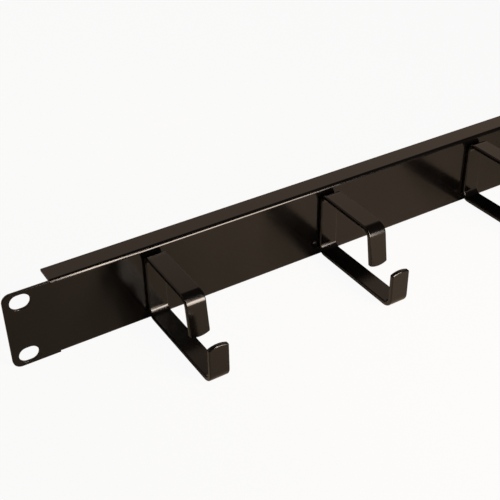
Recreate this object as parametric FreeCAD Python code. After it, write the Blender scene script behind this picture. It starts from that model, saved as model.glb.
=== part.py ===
"""Horizontal cable manager, one rack unit high, for a 19-inch rack.

A folded steel panel screws to the rack's front rails. Four open rings of
folded steel strip are welded to its front and carry the patch cables.

Frame: millimetres, +X to the right seen from the front, +Y into the rack and
+Z up. The origin is the centre of the four fixing slots, on the plane where
the rear faces of the ears meet the rails.
"""
import FreeCAD
import Part
import math
import os

from FreeCAD import Vector

# ---- Panel: one sheet, folded back along its top and its bottom ----
PANEL_LENGTH = 482.6          # 19 in, over the ears
PANEL_HEIGHT = 43.66          # one rack unit, less the gap to the next panel
PANEL_SHEET = 1.5
PANEL_BEND_INSIDE = 0.4       # inside radius of the two folds
EAR_LENGTH = 24.5             # flat end that lies on the rail
EAR_CORNER = 4.5
FLANGE_DEPTH = 12.5           # front face to the flange's rear edge
PANEL_EDGE_ROUND = 0.3        # cut edges, broken and thickly coated

# ---- Fixing slots, two in each ear ----
SLOT_FROM_END = 8.6           # slot's centre to the ear's outer end
SLOT_FROM_EDGE = 5.955        # slot's centre to the panel's top or bottom
SLOT_LENGTH = 10.4
SLOT_HEIGHT = 8.3

# ---- Cable rings: flat strip, folded into an open C ----
RING_COUNT = 4
RING_PITCH = 108.3
RING_WIDTH = 11.0
RING_STRIP = 2.5
RING_HEIGHT = 39.0            # over the two arms, at the panel
RING_RISE = 0.3               # ring's middle above the panel's
RING_BEND_INSIDE = 3.6
LOWER_ARM_REACH = 65.2        # panel's front face to the lower lip's front
LOWER_LIP_HEIGHT = 22.5       # underside of the lower arm to the lip's end
UPPER_ARM_REACH = 44.1        # panel's front face to the upper lip's bend
UPPER_ARM_FALL = 1.2          # degrees, the arm's front lying lower
UPPER_LIP_LENGTH = 22.3       # its bend's outer corner down to the lip's end
UPPER_LIP_LEAN = 8.7          # degrees, the lip's end standing forward
LIP_CROWN = 12.5              # radius of the rounded lip ends
LIP_CORNER = 1.0              # blend between a crown and the strip's sides
STRIP_EDGE_ROUND = 0.7        # the strip's soft rolled edges

FRONT_FACE = -PANEL_SHEET
TINY = 1e-4
X_AXIS = Vector(1, 0, 0)
Y_AXIS = Vector(0, 1, 0)
Z_AXIS = Vector(0, 0, 1)


def across_x(y, z):
    """A point of a side profile, which lies in the plane X = 0."""
    return Vector(0, y, z)


def left_of(direction):
    """The direction a quarter turn anticlockwise, seen along -X."""
    return Vector(0, -direction.z, direction.y)


def meeting_point(point_a, along_a, point_b, along_b):
    """Where two lines in the plane X = 0 cross."""
    normal = left_of(along_b)
    step = normal.dot(point_b - point_a) / normal.dot(along_a)
    return point_a + along_a * step


def offset_points(points, distance):
    """The corners of an open path moved sideways, to its left, by a distance."""
    directions = [(b - a).normalize() for a, b in zip(points, points[1:])]
    shifts = [left_of(direction) * distance for direction in directions]
    moved = [points[0] + shifts[0]]
    for i in range(1, len(directions)):
        corner = meeting_point(points[i] + shifts[i - 1], directions[i - 1],
                               points[i] + shifts[i], directions[i])
        moved.append(corner)
    moved.append(points[-1] + shifts[-1])
    return moved


def bent_edges(points, radius):
    """Lines along an open path, with an arc of one radius at each corner."""
    edges = []
    start = points[0]
    for before, corner, after in zip(points, points[1:], points[2:]):
        back = (before - corner).normalize()
        on = (after - corner).normalize()
        half_angle = back.getAngle(on) / 2
        setback = radius / math.tan(half_angle)
        arc_start = corner + back * setback
        arc_end = corner + on * setback
        middle = (back + on).normalize()
        centre = corner + middle * (radius / math.sin(half_angle))
        arc_middle = centre - middle * radius
        edges.append(Part.makeLine(start, arc_start))
        edges.append(Part.Arc(arc_start, arc_middle, arc_end).toShape())
        start = arc_end
    edges.append(Part.makeLine(start, points[-1]))
    return edges


def folded_strip(inside_points, inside_radius, thickness, width):
    """Strip of one thickness folded along a path, centred on X = 0.

    The path is the strip's inside face, and the metal lies to its left.
    """
    outside_points = offset_points(inside_points, thickness)
    edges = bent_edges(inside_points, inside_radius)
    edges += bent_edges(outside_points, inside_radius + thickness)
    edges.append(Part.makeLine(inside_points[0], outside_points[0]))
    edges.append(Part.makeLine(inside_points[-1], outside_points[-1]))
    outline = Part.Wire(Part.__sortEdges__(edges))
    outline.translate(X_AXIS * (-width / 2))
    return Part.Face(outline).extrude(X_AXIS * width)


def channel():
    """The panel between its ears: the front face and the two flanges."""
    rear_edge = FRONT_FACE + FLANGE_DEPTH
    inside = PANEL_HEIGHT / 2 - PANEL_SHEET
    inside_points = [
        across_x(rear_edge, -inside),
        across_x(0, -inside),
        across_x(0, inside),
        across_x(rear_edge, inside),
    ]
    length = PANEL_LENGTH - 2 * EAR_LENGTH
    strip = folded_strip(inside_points, PANEL_BEND_INSIDE, PANEL_SHEET, length)
    rear_edges = [
        edge for edge in strip.Edges
        if edge.BoundBox.YMin > rear_edge - TINY
        and edge.BoundBox.XLength > length / 2
    ]
    return strip.makeFillet(PANEL_EDGE_ROUND, rear_edges)


def slot_cutter(x, z):
    """Rod with flat sides, lying level, that cuts one fixing slot."""
    radius = SLOT_HEIGHT / 2
    half_straight = (SLOT_LENGTH - SLOT_HEIGHT) / 2
    depth = 3 * PANEL_SHEET
    start = Vector(x - half_straight, -depth / 2, z)
    left_end = Part.makeCylinder(radius, depth, start, Y_AXIS)
    right_end = left_end.copy()
    right_end.translate(X_AXIS * (2 * half_straight))
    middle = Part.makeBox(2 * half_straight, depth, SLOT_HEIGHT, start - Z_AXIS * radius)
    return left_end.fuse([right_end, middle])


def ear(side):
    """Flat end of the panel, with its two slots; side is -1 left, +1 right."""
    joined_end = PANEL_LENGTH / 2 - EAR_LENGTH
    plate = Part.makeBox(EAR_LENGTH, PANEL_SHEET, PANEL_HEIGHT,
                         Vector(joined_end, FRONT_FACE, -PANEL_HEIGHT / 2))
    outer_corners = [
        edge for edge in plate.Edges
        if edge.BoundBox.XMin > joined_end + TINY
        and edge.BoundBox.YLength > PANEL_SHEET / 2
    ]
    plate = plate.makeFillet(EAR_CORNER, outer_corners)
    slot_x = PANEL_LENGTH / 2 - SLOT_FROM_END
    slot_z = PANEL_HEIGHT / 2 - SLOT_FROM_EDGE
    slots = [slot_cutter(slot_x, z) for z in (-slot_z, slot_z)]
    plate = plate.cut(slots)
    cut_edges = [
        edge for edge in plate.Edges
        if edge.BoundBox.YLength < TINY
        and edge.BoundBox.XMax > joined_end + TINY
    ]
    plate = plate.makeFillet(PANEL_EDGE_ROUND, cut_edges)
    if side < 0:
        plate = plate.mirror(Vector(0, 0, 0), X_AXIS)
    return plate


def panel():
    """Front panel: the channel and both ears, one piece of sheet."""
    return channel().fuse([ear(-1), ear(1)]).removeSplitter()


def crown_face(inset):
    """Outline of a lip's end in the plane Y = 0, its tip at Z = 0.

    It runs back past the tip by the inset, and the strip's sides, a small
    corner blend and the crown follow each other smoothly.
    """
    half = RING_WIDTH / 2
    blend_x = half - LIP_CORNER
    blend_z = -LIP_CROWN + math.sqrt((LIP_CROWN - LIP_CORNER) ** 2 - blend_x ** 2)
    crown_turn = math.atan2(blend_z + LIP_CROWN, blend_x)
    crown_x = LIP_CROWN * math.cos(crown_turn)
    crown_z = LIP_CROWN * math.sin(crown_turn) - LIP_CROWN
    blend_turn = crown_turn / 2
    middle_x = blend_x + LIP_CORNER * math.cos(blend_turn)
    middle_z = blend_z + LIP_CORNER * math.sin(blend_turn)
    edges = [
        Part.makeLine(Vector(-half, 0, -inset), Vector(half, 0, -inset)),
        Part.Arc(Vector(crown_x, 0, crown_z), Vector(0, 0, 0), Vector(-crown_x, 0, crown_z)).toShape(),
    ]
    for side in (-1, 1):
        side_end = Vector(side * half, 0, blend_z)
        edges.append(Part.makeLine(Vector(side * half, 0, -inset), side_end))
        edges.append(Part.Arc(side_end, Vector(side * middle_x, 0, middle_z),
                              Vector(side * crown_x, 0, crown_z)).toShape())
    return Part.Face(Part.Wire(Part.__sortEdges__(edges)))


def crown_cutter(tip, turn):
    """What is cut from a lip's square end to leave the crown.

    The tip is where the crown's top lies, and the turn, in degrees about X,
    carries +Z onto the lip's direction.
    """
    inset = LIP_CORNER + RING_WIDTH / 2
    reach = 2 * RING_STRIP
    tongue = crown_face(inset).extrude(Y_AXIS * (2 * reach))
    tongue.translate(Y_AXIS * -reach)
    block = Part.makeBox(2 * RING_WIDTH, reach, inset, Vector(-RING_WIDTH, -reach / 2, -inset))
    cutter = block.cut(tongue)
    cutter.rotate(Vector(0, 0, 0), X_AXIS, turn)
    cutter.translate(tip)
    return cutter


def ring():
    """One cable ring, centred on X = 0, with its back on the panel's front."""
    lean = math.radians(UPPER_LIP_LEAN)
    fall = math.radians(UPPER_ARM_FALL)
    bottom = RING_RISE - RING_HEIGHT / 2
    top = RING_RISE + RING_HEIGHT / 2
    lower_front = FRONT_FACE - LOWER_ARM_REACH
    upper_front = FRONT_FACE - UPPER_ARM_REACH
    upper_corner = across_x(upper_front, top - UPPER_ARM_REACH * math.tan(fall))
    lower_tip = across_x(lower_front, bottom + LOWER_LIP_HEIGHT)
    upper_tip = upper_corner - across_x(UPPER_LIP_LENGTH * math.tan(lean), UPPER_LIP_LENGTH)
    outside_points = [
        lower_tip,
        across_x(lower_front, bottom),
        across_x(FRONT_FACE, bottom),
        across_x(FRONT_FACE, top),
        upper_corner,
        upper_tip,
    ]
    inside_points = offset_points(outside_points, RING_STRIP)
    strip = folded_strip(list(reversed(inside_points)), RING_BEND_INSIDE, RING_STRIP, RING_WIDTH)
    upper_turn = 180 - UPPER_LIP_LEAN
    cutters = [crown_cutter(lower_tip, 0), crown_cutter(upper_tip, upper_turn)]
    strip = strip.cut(cutters).removeSplitter()
    cut_edges = [
        edge for edge in strip.Edges
        if edge.BoundBox.XLength < RING_WIDTH - TINY
    ]
    return strip.makeFillet(STRIP_EDGE_ROUND, cut_edges)


def main():
    nodes = {"panel": panel()}
    one_ring = ring()
    first_x = -RING_PITCH * (RING_COUNT - 1) / 2
    for i in range(RING_COUNT):
        placed = one_ring.copy()
        placed.translate(X_AXIS * (first_x + i * RING_PITCH))
        nodes[f"cable_ring_{i + 1}"] = placed
    os.makedirs("parts", exist_ok=True)
    for name, shape in nodes.items():
        shape.exportStep(f"parts/{name}.step")


main()
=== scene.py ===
"""Horizontal cable manager: its enamel finish, and a small product studio."""
import math

import bmesh
import bpy
from bpy.props import FloatProperty, FloatVectorProperty, PointerProperty
from mathutils import Matrix, Vector


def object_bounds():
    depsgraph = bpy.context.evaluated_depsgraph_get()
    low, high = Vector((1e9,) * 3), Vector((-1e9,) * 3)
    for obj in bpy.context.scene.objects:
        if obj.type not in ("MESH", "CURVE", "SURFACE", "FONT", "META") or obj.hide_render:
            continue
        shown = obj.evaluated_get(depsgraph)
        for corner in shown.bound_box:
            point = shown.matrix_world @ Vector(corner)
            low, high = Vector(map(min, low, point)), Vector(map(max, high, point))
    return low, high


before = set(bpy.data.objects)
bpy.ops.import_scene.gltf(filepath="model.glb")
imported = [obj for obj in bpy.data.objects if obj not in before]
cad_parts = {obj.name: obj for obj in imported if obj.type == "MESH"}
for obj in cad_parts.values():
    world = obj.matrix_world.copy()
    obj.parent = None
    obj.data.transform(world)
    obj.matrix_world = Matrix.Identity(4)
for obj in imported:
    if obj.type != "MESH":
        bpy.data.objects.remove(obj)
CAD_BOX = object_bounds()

bl_info = {
    "name": "Horizontal cable manager",
    "version": (1, 0, 0),
    "blender": (4, 5, 0),
    "location": "3D View > Sidebar > Cable manager",
    "description": "Finishes a rack cable manager in black enamel and sets up its studio",
    "category": "Object",
}

RING_NODES = sorted(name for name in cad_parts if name.startswith("cable_ring"))
MM = 0.001

FILM_IOR = 1.5                 # baked alkyd or polyester enamel
TONE_RAMP = (0.35, 0.65)       # noise values of the darkest and the brownest tone
PATCH_RANGE = (0.3, 0.7)       # noise values between which the gloss drifts
PAPER_FIBRE = 2 * MM
PAPER_RELIEF = 0.02 * MM
PAPER_ROUGHNESS = 0.9
FLOOR_HALF_WIDTH = 3.0
SENSOR_WIDTH = 36              # millimetres
BACKDROP_SIDE = (0.1, 0.4)     # Y of a direction where the backdrop starts and is full
BACKDROP_TOP = (0.75, 0.6)     # Z of a direction where the backdrop ends and is full


def linear(hex_colour):
    """Linear red, green and blue of an sRGB colour written as #rrggbb."""
    channels = [int(hex_colour[i:i + 2], 16) / 255 for i in (1, 3, 5)]
    return tuple(
        c / 12.92 if c <= 0.04045 else ((c + 0.055) / 1.055) ** 2.4
        for c in channels
    )


# ---- Settings that a user would change ----

class EnamelSettings(bpy.types.PropertyGroup):
    """Look of the stoved enamel on the steel."""
    dark: FloatVectorProperty(
        name="Dark tone", description="Deepest tone of the enamel",
        subtype="COLOR", size=3, min=0, max=1, default=linear("#050404"))
    warm: FloatVectorProperty(
        name="Warm tone", description="Brownest tone of the enamel",
        subtype="COLOR", size=3, min=0, max=1, default=linear("#090706"))
    tone_patch: FloatProperty(
        name="Tone patch", description="Width of the faint patches of tone",
        subtype="DISTANCE", min=0.001, default=35 * MM)
    peel_spacing: FloatProperty(
        name="Orange peel spacing", description="Distance between the film's low waves",
        subtype="DISTANCE", min=0.0001, default=1.4 * MM)
    peel_height: FloatProperty(
        name="Orange peel height", description="Height of the film's low waves",
        subtype="DISTANCE", min=0, default=0.004 * MM)
    roughness: FloatProperty(
        name="Roughness", description="Middle roughness of the semi-gloss film",
        subtype="FACTOR", min=0, max=1, default=0.15)
    roughness_drift: FloatProperty(
        name="Roughness drift", description="How far the roughness goes up or down in a patch",
        subtype="FACTOR", min=0, max=1, default=0.02)


class StudioSettings(bpy.types.PropertyGroup):
    """Camera, floor and lamps."""
    aim: FloatVectorProperty(
        name="Aim", description="Point at the middle of the picture",
        subtype="TRANSLATION", unit="LENGTH", size=3, default=(-0.10501, -0.0015, -0.00145))
    distance: FloatProperty(
        name="Distance", description="Camera to the aim point",
        subtype="DISTANCE", min=0.01, default=0.51069)
    azimuth: FloatProperty(
        name="Azimuth", description="Turn of the view from straight ahead, to the right",
        subtype="ANGLE", default=math.radians(31.506))
    elevation: FloatProperty(
        name="Elevation", description="How steeply the camera looks down",
        subtype="ANGLE", default=math.radians(34.131))
    roll: FloatProperty(
        name="Roll", description="Turn of the camera about its own axis",
        subtype="ANGLE", default=math.radians(-0.861))
    focal_length: FloatProperty(
        name="Focal length", description="Lens, in millimetres on a 36 mm sensor",
        subtype="DISTANCE_CAMERA", min=1, default=68.06)
    floor: FloatVectorProperty(
        name="Floor", description="Colour of the floor",
        subtype="COLOR", size=3, min=0, max=1, default=linear("#eddecb"))
    backdrop: FloatVectorProperty(
        name="Backdrop", description="Colour of the room behind the part",
        subtype="COLOR", size=3, min=0, max=1, default=linear("#bca490"))
    ceiling: FloatVectorProperty(
        name="Ceiling", description="Colour of the room overhead and in front of the part",
        subtype="COLOR", size=3, min=0, max=1, default=linear("#302b28"))
    lamp_aim: FloatVectorProperty(
        name="Lamp aim", description="Point that both lamps face",
        subtype="TRANSLATION", unit="LENGTH", size=3, default=(-0.05, -0.02, -0.02))
    lamp_spread: FloatProperty(
        name="Lamp spread", description="Opening angle of the lamps' honeycomb grids",
        subtype="ANGLE", min=0, max=math.pi, default=math.radians(60))
    strip_place: FloatVectorProperty(
        name="Strip place", description="Middle of the narrow bright lamp",
        subtype="TRANSLATION", unit="LENGTH", size=3, default=(0.015, -0.6, 0.36))
    strip_size: FloatVectorProperty(
        name="Strip size", description="Width and height of the narrow bright lamp",
        subtype="XYZ", unit="LENGTH", size=2, min=0.01, default=(0.06, 0.76))
    strip_power: FloatProperty(
        name="Strip power", description="Power of the bright lamp, in watts",
        subtype="POWER", min=0, default=0.68)
    wide_place: FloatVectorProperty(
        name="Wide place", description="Middle of the wide dim lamp",
        subtype="TRANSLATION", unit="LENGTH", size=3, default=(0.16, -0.6, 0.13))
    wide_size: FloatVectorProperty(
        name="Wide size", description="Width and height of the wide dim lamp",
        subtype="XYZ", unit="LENGTH", size=2, min=0.01, default=(0.24, 0.3))
    wide_power: FloatProperty(
        name="Wide power", description="Power of the dim lamp, in watts",
        subtype="POWER", min=0, default=0.5)
    lamp_colour: FloatVectorProperty(
        name="Lamp colour", description="Colour of both lamps",
        subtype="COLOR", size=3, min=0, max=1, default=linear("#ffeedd"))
    seen_white: FloatProperty(
        name="Seen white", description="Share of plain white in the floor that the camera sees",
        subtype="FACTOR", min=0, max=1, default=0.94)
    mirrored_white: FloatProperty(
        name="Mirrored white", description="Share of the white background that gloss shows",
        subtype="FACTOR", min=0, max=1, default=0.012)


def studio():
    return bpy.context.scene.cable_manager_studio


def enamel_settings():
    return bpy.context.scene.cable_manager_enamel


# ---- Nodes ----

def add_node(tree, kind, inputs=None, **settings):
    """A node with its settings, and its inputs set to a value or linked to a socket."""
    node = tree.nodes.new(kind)
    for name, value in settings.items():
        setattr(node, name, value)
    for key, value in (inputs or {}).items():
        if isinstance(value, bpy.types.NodeSocket):
            tree.links.new(value, node.inputs[key])
        else:
            node.inputs[key].default_value = value
    return node


def empty_tree(owner):
    owner.use_nodes = True
    owner.node_tree.nodes.clear()
    return owner.node_tree


def semi_gloss_black_enamel(name, shift):
    """Stoved black enamel, sprayed on sheet steel and baked to a semi-gloss film.

    The film is smooth and dark, and mirrors soft lights with a blur. Close to,
    it has the low waves of orange peel, and its tone drifts very slightly.
    """
    look = enamel_settings()
    material = bpy.data.materials.new(name)
    tree = empty_tree(material)
    place = add_node(tree, "ShaderNodeTexCoord")
    shifted = add_node(tree, "ShaderNodeMapping",
                       {"Vector": place.outputs["Object"], "Location": shift})
    patches = add_node(tree, "ShaderNodeTexNoise", {
        "Vector": shifted.outputs["Vector"],
        "Scale": 1 / look.tone_patch, "Detail": 2.0, "Roughness": 0.5})
    tone = add_node(tree, "ShaderNodeValToRGB", {"Fac": patches.outputs["Fac"]})
    tone.color_ramp.elements[0].position = TONE_RAMP[0]
    tone.color_ramp.elements[0].color = (*look.dark, 1)
    tone.color_ramp.elements[1].position = TONE_RAMP[1]
    tone.color_ramp.elements[1].color = (*look.warm, 1)
    gloss = add_node(tree, "ShaderNodeMapRange", {
        "Value": patches.outputs["Fac"],
        "From Min": PATCH_RANGE[0], "From Max": PATCH_RANGE[1],
        "To Min": look.roughness - look.roughness_drift,
        "To Max": look.roughness + look.roughness_drift})
    peel = add_node(tree, "ShaderNodeTexNoise", {
        "Vector": shifted.outputs["Vector"],
        "Scale": 1 / look.peel_spacing, "Detail": 1.0, "Roughness": 0.4})
    waves = add_node(tree, "ShaderNodeBump", {
        "Height": peel.outputs["Fac"], "Distance": look.peel_height, "Strength": 1.0})
    film = add_node(tree, "ShaderNodeBsdfPrincipled", {
        "Base Color": tone.outputs["Color"], "Roughness": gloss.outputs["Result"],
        "IOR": FILM_IOR, "Normal": waves.outputs["Normal"]})
    add_node(tree, "ShaderNodeOutputMaterial", {"Surface": film.outputs["BSDF"]})
    return material


def white_share(tree, seen_share):
    """How much of the plain white a ray meets, by the kind of ray."""
    ray = add_node(tree, "ShaderNodeLightPath")
    straight = add_node(tree, "ShaderNodeMath", {
        0: ray.outputs["Is Camera Ray"], 1: ray.outputs["Is Transmission Ray"]},
        operation="MAXIMUM")
    seen = add_node(tree, "ShaderNodeMath", {0: straight.outputs["Value"], 1: seen_share},
                    operation="MULTIPLY")
    gloss = add_node(tree, "ShaderNodeMath", {
        0: ray.outputs["Is Glossy Ray"], 1: studio().mirrored_white}, operation="MULTIPLY")
    share = add_node(tree, "ShaderNodeMath", {
        0: seen.outputs["Value"], 1: gloss.outputs["Value"]}, operation="MAXIMUM")
    return share.outputs["Value"]


def matt_white_paper():
    """Matt white paper with a fine fibre, on which the eye sees only faint shadows."""
    material = bpy.data.materials.new("matt_white_paper")
    tree = empty_tree(material)
    place = add_node(tree, "ShaderNodeTexCoord")
    fibre = add_node(tree, "ShaderNodeTexNoise", {
        "Vector": place.outputs["Object"], "Scale": 1 / PAPER_FIBRE, "Detail": 3.0})
    grain = add_node(tree, "ShaderNodeBump", {
        "Height": fibre.outputs["Fac"], "Distance": PAPER_RELIEF})
    paper = add_node(tree, "ShaderNodeBsdfPrincipled", {
        "Base Color": (*studio().floor, 1), "Roughness": PAPER_ROUGHNESS,
        "Normal": grain.outputs["Normal"]})
    white = add_node(tree, "ShaderNodeEmission", {"Color": (1, 1, 1, 1), "Strength": 1.0})
    mix = add_node(tree, "ShaderNodeMixShader", {
        0: white_share(tree, studio().seen_white),
        1: paper.outputs["BSDF"], 2: white.outputs["Emission"]})
    add_node(tree, "ShaderNodeOutputMaterial", {"Surface": mix.outputs["Shader"]})
    return material


def light_world():
    """A pale backdrop behind the part, and a dim room above it and in front."""
    world = bpy.data.worlds.new("pale_backdrop")
    tree = empty_tree(world)
    place = add_node(tree, "ShaderNodeTexCoord")
    axes = add_node(tree, "ShaderNodeSeparateXYZ", {"Vector": place.outputs["Generated"]})
    behind = add_node(tree, "ShaderNodeMapRange", {
        "Value": axes.outputs["Y"],
        "From Min": BACKDROP_SIDE[0], "From Max": BACKDROP_SIDE[1]})
    below = add_node(tree, "ShaderNodeMapRange", {
        "Value": axes.outputs["Z"],
        "From Min": BACKDROP_TOP[0], "From Max": BACKDROP_TOP[1]})
    pale = add_node(tree, "ShaderNodeMath", {
        0: behind.outputs["Result"], 1: below.outputs["Result"]}, operation="MULTIPLY")
    tone = add_node(tree, "ShaderNodeMix", {
        "Factor": pale.outputs["Value"], "A": (*studio().ceiling, 1),
        "B": (*studio().backdrop, 1)}, data_type="RGBA")
    room = add_node(tree, "ShaderNodeBackground", {
        "Color": tone.outputs["Result"], "Strength": 1.0})
    white = add_node(tree, "ShaderNodeBackground", {"Color": (1, 1, 1, 1), "Strength": 1.0})
    mix = add_node(tree, "ShaderNodeMixShader", {
        0: white_share(tree, 1.0), 1: room.outputs["Background"],
        2: white.outputs["Background"]})
    add_node(tree, "ShaderNodeOutputWorld", {"Surface": mix.outputs["Shader"]})
    bpy.context.scene.world = world


# ---- Stage ----

def make_floor(material):
    """Square of paper under the part."""
    low, high = CAD_BOX
    centre = (Vector(low) + Vector(high)) / 2
    half = FLOOR_HALF_WIDTH
    mesh = bpy.data.meshes.new("floor")
    shape = bmesh.new()
    corners = [(-half, -half), (half, -half), (half, half), (-half, half)]
    shape.faces.new([
        shape.verts.new((centre.x + x, centre.y + y, low[2])) for x, y in corners])
    shape.to_mesh(mesh)
    shape.free()
    floor = bpy.data.objects.new("floor", mesh)
    floor.data.materials.append(material)
    bpy.context.scene.collection.objects.link(floor)


def direction(azimuth, elevation):
    """Unit vector of a level turn from +Y towards +X, then up."""
    return Vector((math.sin(azimuth) * math.cos(elevation),
                   math.cos(azimuth) * math.cos(elevation),
                   math.sin(elevation)))


def add_softbox(name, place, size, power):
    """Softbox with a honeycomb grid, ahead of the part and facing it."""
    view = studio()
    lamp = bpy.data.lights.new(name, "AREA")
    lamp.shape = "RECTANGLE"
    lamp.size, lamp.size_y = size
    lamp.spread = view.lamp_spread
    lamp.energy = power
    lamp.color = view.lamp_colour
    softbox = bpy.data.objects.new(name, lamp)
    softbox.location = place
    facing = Vector(view.lamp_aim) - Vector(place)
    softbox.rotation_euler = facing.to_track_quat("-Z", "Y").to_euler()
    bpy.context.scene.collection.objects.link(softbox)


def add_camera():
    view = studio()
    forward = direction(view.azimuth, -view.elevation)
    right = forward.cross(Vector((0, 0, 1))).normalized()
    up = right.cross(forward)
    turned_right = right * math.cos(view.roll) + up * math.sin(view.roll)
    turned_up = up * math.cos(view.roll) - right * math.sin(view.roll)
    camera = bpy.data.objects.new("camera", bpy.data.cameras.new("camera"))
    camera.data.sensor_width = SENSOR_WIDTH
    camera.data.sensor_fit = "HORIZONTAL"
    camera.data.lens = view.focal_length
    camera.data.clip_start = 0.01
    turn = Matrix((turned_right, turned_up, -forward)).transposed().to_4x4()
    camera.matrix_world = Matrix.Translation(Vector(view.aim) - forward * view.distance) @ turn
    bpy.context.scene.collection.objects.link(camera)
    bpy.context.scene.camera = camera


# ---- Operators ----

def coat(node_names, material):
    """Gives CAD nodes one material."""
    for name in node_names:
        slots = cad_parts[name].data.materials
        slots.clear()
        slots.append(material)


class CABLE_MANAGER_OT_finish_panel(bpy.types.Operator):
    """Coat the folded sheet panel with black enamel"""
    bl_idname = "cable_manager.finish_panel"
    bl_label = "Finish panel"

    def execute(self, context):
        enamel = semi_gloss_black_enamel("semi_gloss_black_enamel_on_sheet", (0, 0, 0))
        coat(["panel"], enamel)
        return {"FINISHED"}


class CABLE_MANAGER_OT_finish_rings(bpy.types.Operator):
    """Coat the folded strip rings with black enamel"""
    bl_idname = "cable_manager.finish_rings"
    bl_label = "Finish rings"

    def execute(self, context):
        enamel = semi_gloss_black_enamel("semi_gloss_black_enamel_on_strip", (0.3, 0.1, 0.2))
        coat(RING_NODES, enamel)
        return {"FINISHED"}


class CABLE_MANAGER_OT_set_stage(bpy.types.Operator):
    """Lay the floor, set up the lamps and place the camera"""
    bl_idname = "cable_manager.set_stage"
    bl_label = "Set stage"

    def execute(self, context):
        context.scene.view_settings.view_transform = "Standard"
        make_floor(matt_white_paper())
        light_world()
        view = studio()
        add_softbox("strip_softbox", view.strip_place, view.strip_size, view.strip_power)
        add_softbox("wide_softbox", view.wide_place, view.wide_size, view.wide_power)
        add_camera()
        return {"FINISHED"}


class CABLE_MANAGER_PT_sidebar(bpy.types.Panel):
    """Lists the cable manager's settings and steps"""
    bl_idname = "CABLE_MANAGER_PT_sidebar"
    bl_label = "Cable manager"
    bl_space_type = "VIEW_3D"
    bl_region_type = "UI"
    bl_category = "Cable manager"

    def draw(self, context):
        for group in (enamel_settings(), studio()):
            box = self.layout.box()
            for name in group.__annotations__:
                box.prop(group, name)
        for operator in OPERATORS:
            self.layout.operator(operator.bl_idname)


OPERATORS = (
    CABLE_MANAGER_OT_finish_panel,
    CABLE_MANAGER_OT_finish_rings,
    CABLE_MANAGER_OT_set_stage,
)
CLASSES = (EnamelSettings, StudioSettings, *OPERATORS, CABLE_MANAGER_PT_sidebar)


def register():
    for cls in CLASSES:
        bpy.utils.register_class(cls)
    bpy.types.Scene.cable_manager_enamel = PointerProperty(type=EnamelSettings)
    bpy.types.Scene.cable_manager_studio = PointerProperty(type=StudioSettings)


def unregister():
    del bpy.types.Scene.cable_manager_studio
    del bpy.types.Scene.cable_manager_enamel
    for cls in reversed(CLASSES):
        bpy.utils.unregister_class(cls)


def main():
    register()
    bpy.ops.cable_manager.finish_panel()
    bpy.ops.cable_manager.finish_rings()
    bpy.ops.cable_manager.set_stage()


if __name__ == "__main__":
    main()
